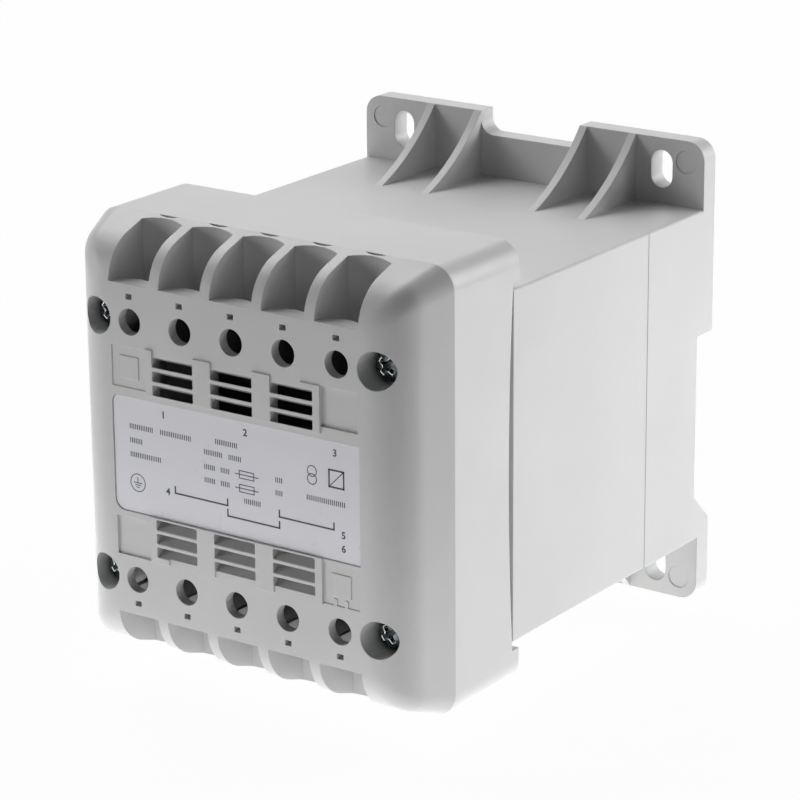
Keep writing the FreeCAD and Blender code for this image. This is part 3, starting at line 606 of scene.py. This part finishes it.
def winding_growth():
    """Turns of wire above each other round a coil."""
    growth = Growth("winding")
    radius = growth.size("Wire Radius")
    loop = growth.add("GeometryNodeCurvePrimitiveQuadrilateral", Width=growth.size("Loop Width"),
                      Height=growth.size("Loop Depth"))
    round_loop = growth.add("GeometryNodeFilletCurve", Curve=loop.outputs[0], mode="POLY", Count=corner_steps,
                            Radius=growth.size("Corner"))
    wire = growth.add("GeometryNodeCurvePrimitiveCircle", Resolution=wire_steps, Radius=radius)
    turn = growth.add("GeometryNodeCurveToMesh", Curve=round_loop.outputs[0])
    growth.feed(wire.outputs[0], turn.inputs["Profile Curve"])
    smooth = growth.add("GeometryNodeSetShadeSmooth", Geometry=turn.outputs[0])
    step = growth.add("ShaderNodeCombineXYZ", Z=growth.size("Pitch"))
    line = growth.add("GeometryNodeMeshLine", mode="OFFSET", Count=growth.size("Turns", "Int"),
                      Offset=step.outputs[0])
    turns = growth.add("GeometryNodeInstanceOnPoints", Points=line.outputs[0], Instance=smooth.outputs[0])
    coils = growth.add("GeometryNodeInstanceOnPoints", Points=growth.places, Instance=turns.outputs[0])
    growth.end(coils.outputs[0])
    return growth


# Screws

def spun(profile, steps):
    """A closed form turned round the Y axis from points (radius, y) that start and end on the axis."""
    work = bmesh.new()
    rings = []
    for radius, y in profile:
        spots = circle(radius, steps) if radius else [(0, 0)]
        rings.append([work.verts.new((x, y, z)) for x, z in spots])
    for first, second in zip(rings, rings[1:]):
        for i in range(steps):
            j = (i + 1) % steps
            corners = [first[i % len(first)], first[j % len(first)], second[j % len(second)],
                       second[i % len(second)]]
            work.faces.new(list(dict.fromkeys(corners)))
    bmesh.ops.recalc_face_normals(work, faces=work.faces)
    mesh = bpy.data.meshes.new("turned")
    work.to_mesh(mesh)
    work.free()
    return mesh


def tapered(outline, y0, y1, scale):
    """A cutter with the given outline at y0, and a scaled one at y1."""
    mesh = bpy.data.meshes.new("cutter")
    count = len(outline)
    points = [(x, y0, z) for x, z in outline] + [(x * scale, y1, z * scale) for x, z in outline]
    faces = [tuple(range(count)), tuple(range(2 * count - 1, count - 1, -1))]
    faces += [(i, i + count, (i + 1) % count + count, (i + 1) % count) for i in range(count)]
    mesh.from_pydata(points, [], faces)
    work = bmesh.new()
    work.from_mesh(mesh)
    bmesh.ops.recalc_face_normals(work, faces=work.faces)
    work.to_mesh(mesh)
    work.free()
    return mesh


def cross_outline(reach, half, corner):
    """A cross with four arms and slanted inner corners."""
    quarter = [(reach, -half), (reach, half), (half + corner, half), (half, half + corner)]
    points = []
    for cosine, sine in ((1, 0), (0, 1), (-1, 0), (0, -1)):
        points += [(x * cosine - z * sine, x * sine + z * cosine) for x, z in quarter]
    return points


def recess_cutter(drive, top, head_radius):
    """The form of a cross recess or of a slot in a head with the given top."""
    if drive == "cross":
        outline = cross_outline(cross_reach, cross_half, cross_corner)
        return tapered(outline, top - cutter_rise, top + cross_depth, cross_taper)
    across = head_radius * slot_reach
    outline = [(-across, -slot_half), (across, -slot_half), (across, slot_half), (-across, slot_half)]
    return tapered(outline, top - cutter_rise, top + slot_depth, 1.0)


def pan_screw(name, head_radius, head_height, shank_radius, length, drive):
    """A pan head screw with its seat at the origin and its head to the front."""
    top = -head_height
    profile = [(head_radius * r, top + head_height * y) for r, y in crown]
    y = 0
    while y + thread_pitch < length:
        profile += [(shank_radius, y), (shank_radius - thread_depth, y + thread_pitch / 2)]
        y += thread_pitch
    profile += [(shank_radius * tip_start, y), (shank_radius * tip_end, length), (0, length)]
    screw = new_piece(name, spun(profile, screw_steps), screw_finish)
    tool = new_piece(name + "_cutter", recess_cutter(drive, top, head_radius), screw_finish)
    cut = screw.modifiers.new("recess", "BOOLEAN")
    cut.operation = "DIFFERENCE"
    cut.object = tool
    settle(screw)
    bpy.data.objects.remove(tool)
    wear_recess(screw.data, head_radius * glint_reach, top + head_height * glint_height)
    return screw


def wear_recess(mesh, reach, foot):
    """Rounds the sharp edges of the recess, in front of the foot and within reach of the axis, and marks the rounded
    faces for a painted glint: a lighter metal colour in place of highlights."""
    work = bmesh.new()
    work.from_mesh(mesh)
    bmesh.ops.remove_doubles(work, verts=work.verts, dist=weld_reach)
    painted_glint = work.faces.layers.float.new("painted_glint")
    edges = []
    for edge in work.edges:
        spot = (edge.verts[0].co + edge.verts[1].co) / 2
        sharp = len(edge.link_faces) == 2 and edge.calc_face_angle() > glint_angle
        if sharp and spot.y < foot and math.hypot(spot.x, spot.z) < reach:
            edges.append(edge)
    made = bmesh.ops.bevel(work, geom=edges, offset=glint_bevel, segments=1, affect="EDGES", clamp_overlap=True)
    # The rounded faces get the painted glint.
    for face in made["faces"]:
        face[painted_glint] = 1.0
    work.to_mesh(mesh)
    work.free()
    mesh.shade_smooth()
    mesh.set_sharp_from_angle(angle=screw_crease)


def make_cover_screws(growth):
    """The four screws in the cover's corners, with cross recesses."""
    low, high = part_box("cover_screws")
    head_radius, head_height, shank_radius = 3.3 * MM, 2.6 * MM, 1.95 * MM
    seat = low[1] + head_height
    screw = pan_screw("pan_screw", head_radius, head_height, shank_radius, high[1] - seat, "cross")
    spots = [(x, seat, z) for x in (low[0] + head_radius, high[0] - head_radius)
             for z in (low[2] + head_radius, high[2] - head_radius)]
    turns = {"Screw": screw, "Least Turn": math.radians(32), "Most Turn": math.radians(58), "Seed": 4}
    stand_for(grow("cover_screw_set", growth, screw_finish, spots, turns), "cover_screws")
    bpy.data.objects.remove(screw)


def make_terminal_screws(growth):
    """A slotted screw at each pole of the terminal blocks. The two rows differ in their seed."""
    low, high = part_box("upper_terminal_screws")
    head_radius, head_height, shank_radius = (high[2] - low[2]) / 2, 2.4 * MM, 1.9 * MM
    seat = low[1] + head_height
    screw = pan_screw("terminal_screw", head_radius, head_height, shank_radius, high[1] - seat, "slot")
    for row, seed in (("upper", 8), ("lower", 9)):
        node = row + "_terminal_screws"
        low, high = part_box(node)
        pitch = (high[0] - low[0] - 2 * head_radius) / (poles - 1)
        spots = [(low[0] + head_radius + i * pitch, seat, (low[2] + high[2]) / 2) for i in range(poles)]
        turns = {"Screw": screw, "Least Turn": 0.0, "Most Turn": math.pi, "Seed": seed}
        stand_for(grow(row + "_terminal_screw_set", growth, screw_finish, spots, turns), node)
    bpy.data.objects.remove(screw)


# Core and coil

def make_sheet(name, outline, holes, thickness):
    """A flat sheet in the XZ plane with round holes."""
    curve = bpy.data.curves.new(name, "CURVE")
    curve.dimensions = "2D"
    curve.fill_mode = "BOTH"
    curve.extrude = thickness / 2
    for points in [outline] + [circle(core_hole, hole_steps, x, z) for x, z in holes]:
        spline = curve.splines.new("POLY")
        spline.points.add(len(points) - 1)
        for point, (x, z) in zip(spline.points, points):
            point.co = (x, z, 0, 1)
        spline.use_cyclic_u = True
    return new_piece(name, upright_mesh(name, curve), sheet_finish)


def make_core():
    """Stacks of E sheets and of I sheets. Their limbs have the usual shares of an E and I core."""
    growth = stack_growth()
    low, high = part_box("e_laminations")
    half = high[0]
    limb = half / 3
    inner = limb / 2
    top, foot = high[2], low[2]
    floor = foot + limb
    e_outline = [(-half, foot), (half, foot), (half, top), (2 * limb, top), (2 * limb, floor), (limb, floor)]
    e_outline += [(limb, top), (-limb, top), (-limb, floor), (-2 * limb, floor), (-2 * limb, top)]
    e_outline += [(-half, top)]
    i_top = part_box("i_laminations")[1][2]
    i_outline = [(-half, top), (half, top), (half, i_top), (-half, i_top)]
    count = round((high[1] - low[1]) / sheet_pitch)
    place = [(0, low[1] + sheet_pitch / 2, 0)]
    for letter, outline, hole_height in (("e", e_outline, foot + inner), ("i", i_outline, i_top - inner)):
        holes = [(side * (half - inner), hole_height) for side in (-1, 1)]
        sheet = make_sheet(letter + "_sheet", outline, holes, sheet_pitch - sheet_gap)
        stack = grow(letter + "_sheet_stack", growth, sheet_finish, place,
                     {"Sheet": sheet, "Pitch": sheet_pitch, "Sheets": count})
        stand_for(stack, letter + "_laminations")
        bpy.data.objects.remove(sheet)


def make_windings():
    """Each winding's outer layer as single turns of wire. The layers below it are out of sight."""
    growth = winding_growth()
    for name, radius in wire_radius.items():
        low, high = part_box(name)
        pitch = 2 * (radius + wire_gap)
        turns = int((high[2] - low[2]) / pitch)
        start = (low[2] + high[2] - (turns - 1) * pitch) / 2
        place = [((low[0] + high[0]) / 2, (low[1] + high[1]) / 2, start)]
        sizes = {
            "Wire Radius": radius, "Loop Width": high[0] - low[0] - 2 * radius,
            "Loop Depth": high[1] - low[1] - 2 * radius, "Corner": winding_corner[name] - radius,
            "Pitch": pitch, "Turns": turns,
        }
        stand_for(grow(name + "_turns", growth, wire_finish, place, sizes), name)


# Print on the label: plain numbers, rows of strokes in the place of words, and simple signs

class Print:
    """Collects flat shapes on the label's face. Places are in millimetres, X to the right and Z up."""

    def __init__(self):
        self.work = bmesh.new()

    def shape(self, points):
        corners = [self.work.verts.new((x * MM, label_front, z * MM)) for x, z in points]
        self.work.faces.new(corners)

    def line(self, x0, z0, x1, z1, width):
        along = Vector((x1 - x0, z1 - z0)).normalized() * width / 2
        side = Vector((-along.y, along.x))
        start = Vector((x0, z0)) - along
        end = Vector((x1, z1)) + along
        self.shape([tuple(start - side), tuple(end - side), tuple(end + side), tuple(start + side)])

    def ring(self, x, z, radius, width, steps=40):
        outer, inner = circle(radius, steps, x, z), circle(radius - width, steps, x, z)
        for i in range(steps):
            j = (i + 1) % steps
            self.shape([outer[i], outer[j], inner[j], inner[i]])

    def outline(self, x, z, length, height, width):
        self.line(x, z, x + length, z, width)
        self.line(x + length, z, x + length, z + height, width)
        self.line(x + length, z + height, x, z + height, width)
        self.line(x, z + height, x, z, width)

    def number(self, value, x, z, height):
        curve = bpy.data.curves.new("number", "FONT")
        curve.body = str(value)
        curve.size = height * MM * number_font
        curve.offset = number_weight
        curve.align_x = "CENTER"
        mesh = upright_mesh("number", curve)
        mesh.transform(Matrix.Translation((x * MM, label_front, z * MM)))
        self.work.from_mesh(mesh)

    def piece(self, name, finish):
        """Raises the shapes to the height of the print and makes one piece of them."""
        bmesh.ops.remove_doubles(self.work, verts=self.work.verts, dist=2 * weld_reach)
        flat = list(self.work.faces)
        raised = bmesh.ops.extrude_face_region(self.work, geom=flat)
        moved = [part for part in raised["geom"] if isinstance(part, bmesh.types.BMVert)]
        bmesh.ops.translate(self.work, verts=moved, vec=(0, -print_height, 0))
        bmesh.ops.recalc_face_normals(self.work, faces=self.work.faces)
        mesh = bpy.data.meshes.new(name)
        self.work.to_mesh(mesh)
        self.work.free()
        return new_piece(name, mesh, finish)


def print_words(sheet):
    """Short upright strokes of word height, in the place of words."""
    for x, z, lengths in word_rows:
        for length in lengths:
            for i in range(max(2, round(length / stroke_step))):
                place = x + i * stroke_step
                sheet.line(place, z + stroke_inset, place, z + word_height - stroke_inset, stroke_line)
            x += length + word_gap


def print_fuse(sheet, x, z):
    """A box with a line through it, which sticks out at both ends."""
    length, height, lead = 3.5, 1.5, 1.0
    sheet.outline(x, z - height / 2, length, height, thin_line)
    sheet.line(x - lead, z, x + length + lead, z, thin_line)


def print_earth(sheet, x, z):
    """Three level lines, each shorter than the one above, and a stem, in a ring."""
    radius, stem = 1.9, 1.1
    sheet.ring(x, z, radius, thin_line)
    for half, drop in ((1.0, 0.0), (0.65, 0.45), (0.3, 0.9)):
        sheet.line(x - half, z - drop, x + half, z - drop, thin_line)
    sheet.line(x, z, x, z + stem, thin_line)


def print_coupled_rings(sheet, x, z):
    """Two rings that overlap, one above the other."""
    radius, apart = 1.15, 1.6
    for rise in (apart, 0.0):
        sheet.ring(x, z + rise, radius, thin_line)


def print_halved_square(sheet, x, z):
    """A square with a line from corner to corner."""
    side = 3.4
    sheet.outline(x, z, side, side, thick_line)
    sheet.line(x, z, x + side, z + side, thin_line)


def print_brackets(sheet):
    """Level lines of the winding diagram, with an upright at each end."""
    for x0, x1, z in brackets:
        sheet.line(x0, z, x1, z, thick_line)
        for x in (x0, x1):
            sheet.line(x, z, x, z + bracket_height, thick_line)


def print_label():
    sheet = Print()
    for value, x, z in label_numbers:
        sheet.number(value, x, z, number_height)
    print_words(sheet)
    for place in fuse_places:
        print_fuse(sheet, *place)
    print_earth(sheet, *earth_place)
    print_coupled_rings(sheet, *coupled_rings_place)
    print_halved_square(sheet, *halved_square_place)
    print_brackets(sheet)
    return sheet.piece("label_print", ink_finish)


# Floor, backdrop, light and camera

def backdrop_share(tree, share):
    """A share for the rays that see or mirror the backdrop, and 0 for the rest."""
    path = tree.nodes.new("ShaderNodeLightPath")
    total = path.outputs["Is Camera Ray"]
    for name in ("Is Glossy Ray", "Is Transmission Ray"):
        either = tree.nodes.new("ShaderNodeMath")
        either.operation = "MAXIMUM"
        tree.links.new(total, either.inputs[0])
        tree.links.new(path.outputs[name], either.inputs[1])
        total = either.outputs[0]
    scale = tree.nodes.new("ShaderNodeMath")
    scale.operation = "MULTIPLY"
    scale.inputs[1].default_value = share
    tree.links.new(total, scale.inputs[0])
    return scale.outputs[0]


def floor_material():
    """Pale floor. The camera sees it white, with a trace of the object's shadow."""
    material = bpy.data.materials.new("floor_white")
    material.use_nodes = True
    tree = material.node_tree
    tree.nodes.clear()
    output = tree.nodes.new("ShaderNodeOutputMaterial")
    diffuse = tree.nodes.new("ShaderNodeBsdfDiffuse")
    diffuse.inputs["Color"].default_value = (*floor_colour, 1)
    white = tree.nodes.new("ShaderNodeEmission")
    mix = tree.nodes.new("ShaderNodeMixShader")
    tree.links.new(backdrop_share(tree, backdrop_white), mix.inputs[0])
    tree.links.new(diffuse.outputs[0], mix.inputs[1])
    tree.links.new(white.outputs[0], mix.inputs[2])
    tree.links.new(mix.outputs[0], output.inputs[0])
    return material


def make_floor():
    mesh = bpy.data.meshes.new("floor")
    sides = ((-1, -1), (1, -1), (1, 1), (-1, 1))
    corners = [(x * floor_half, y * floor_half, floor_level) for x, y in sides]
    mesh.from_pydata(corners, [], [(0, 1, 2, 3)])
    floor = new_piece("floor", mesh, floor_material())


def make_world():
    """A white backdrop for the rays that see or mirror it. The lamps do all the lighting."""
    world = bpy.data.worlds.new("studio")
    bpy.context.scene.world = world
    world.use_nodes = True
    tree = world.node_tree
    tree.nodes.clear()
    output = tree.nodes.new("ShaderNodeOutputWorld")
    white = tree.nodes.new("ShaderNodeBackground")
    white.inputs["Color"].default_value = (1, 1, 1, 1)
    tree.links.new(backdrop_share(tree, 1.0), white.inputs["Strength"])
    tree.links.new(white.outputs[0], output.inputs[0])


def add_light(name, place, aim, size, power):
    light = bpy.data.lights.new(name, "AREA")
    light.shape = "RECTANGLE"
    light.size, light.size_y = size
    light.energy = power
    lamp = bpy.data.objects.new(name, light)
    lamp.location = place
    lamp.rotation_euler = (Vector(aim) - Vector(place)).to_track_quat("-Z", "Y").to_euler()
    lamp.visible_camera = False
    bpy.context.scene.collection.objects.link(lamp)


def make_lights():
    for name, place, size, power in soft_boxes:
        add_light(name, place, middle, size, power)
    for name, x, y, size, power in glows:
        add_light(name, (x, y, floor_level + glow_rise), (x, y, glow_aim), size, power)


def make_camera():
    camera = bpy.data.objects.new("camera", bpy.data.cameras.new("camera"))
    camera.data.lens = camera_lens
    camera.data.sensor_width = camera_sensor
    camera.data.clip_end = camera_reach
    turn = (camera_target - camera_place).to_track_quat("-Z", "Y") @ Quaternion((0, 0, 1), camera_roll)
    camera.matrix_world = Matrix.Translation(camera_place) @ turn.to_matrix().to_4x4()
    bpy.context.scene.collection.objects.link(camera)
    bpy.context.scene.camera = camera


# Putting it together

for node_name in shell_nodes:
    moulded_shell(node_name)
press_spring()
screws_in_places = screw_growth()
make_cover_screws(screws_in_places)
make_terminal_screws(screws_in_places)
make_core()
make_windings()
label_print = print_label()
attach(label_print, HOLDER)
make_floor()
make_world()
make_lights()
make_camera()
bpy.context.scene.view_settings.view_transform = "Standard"
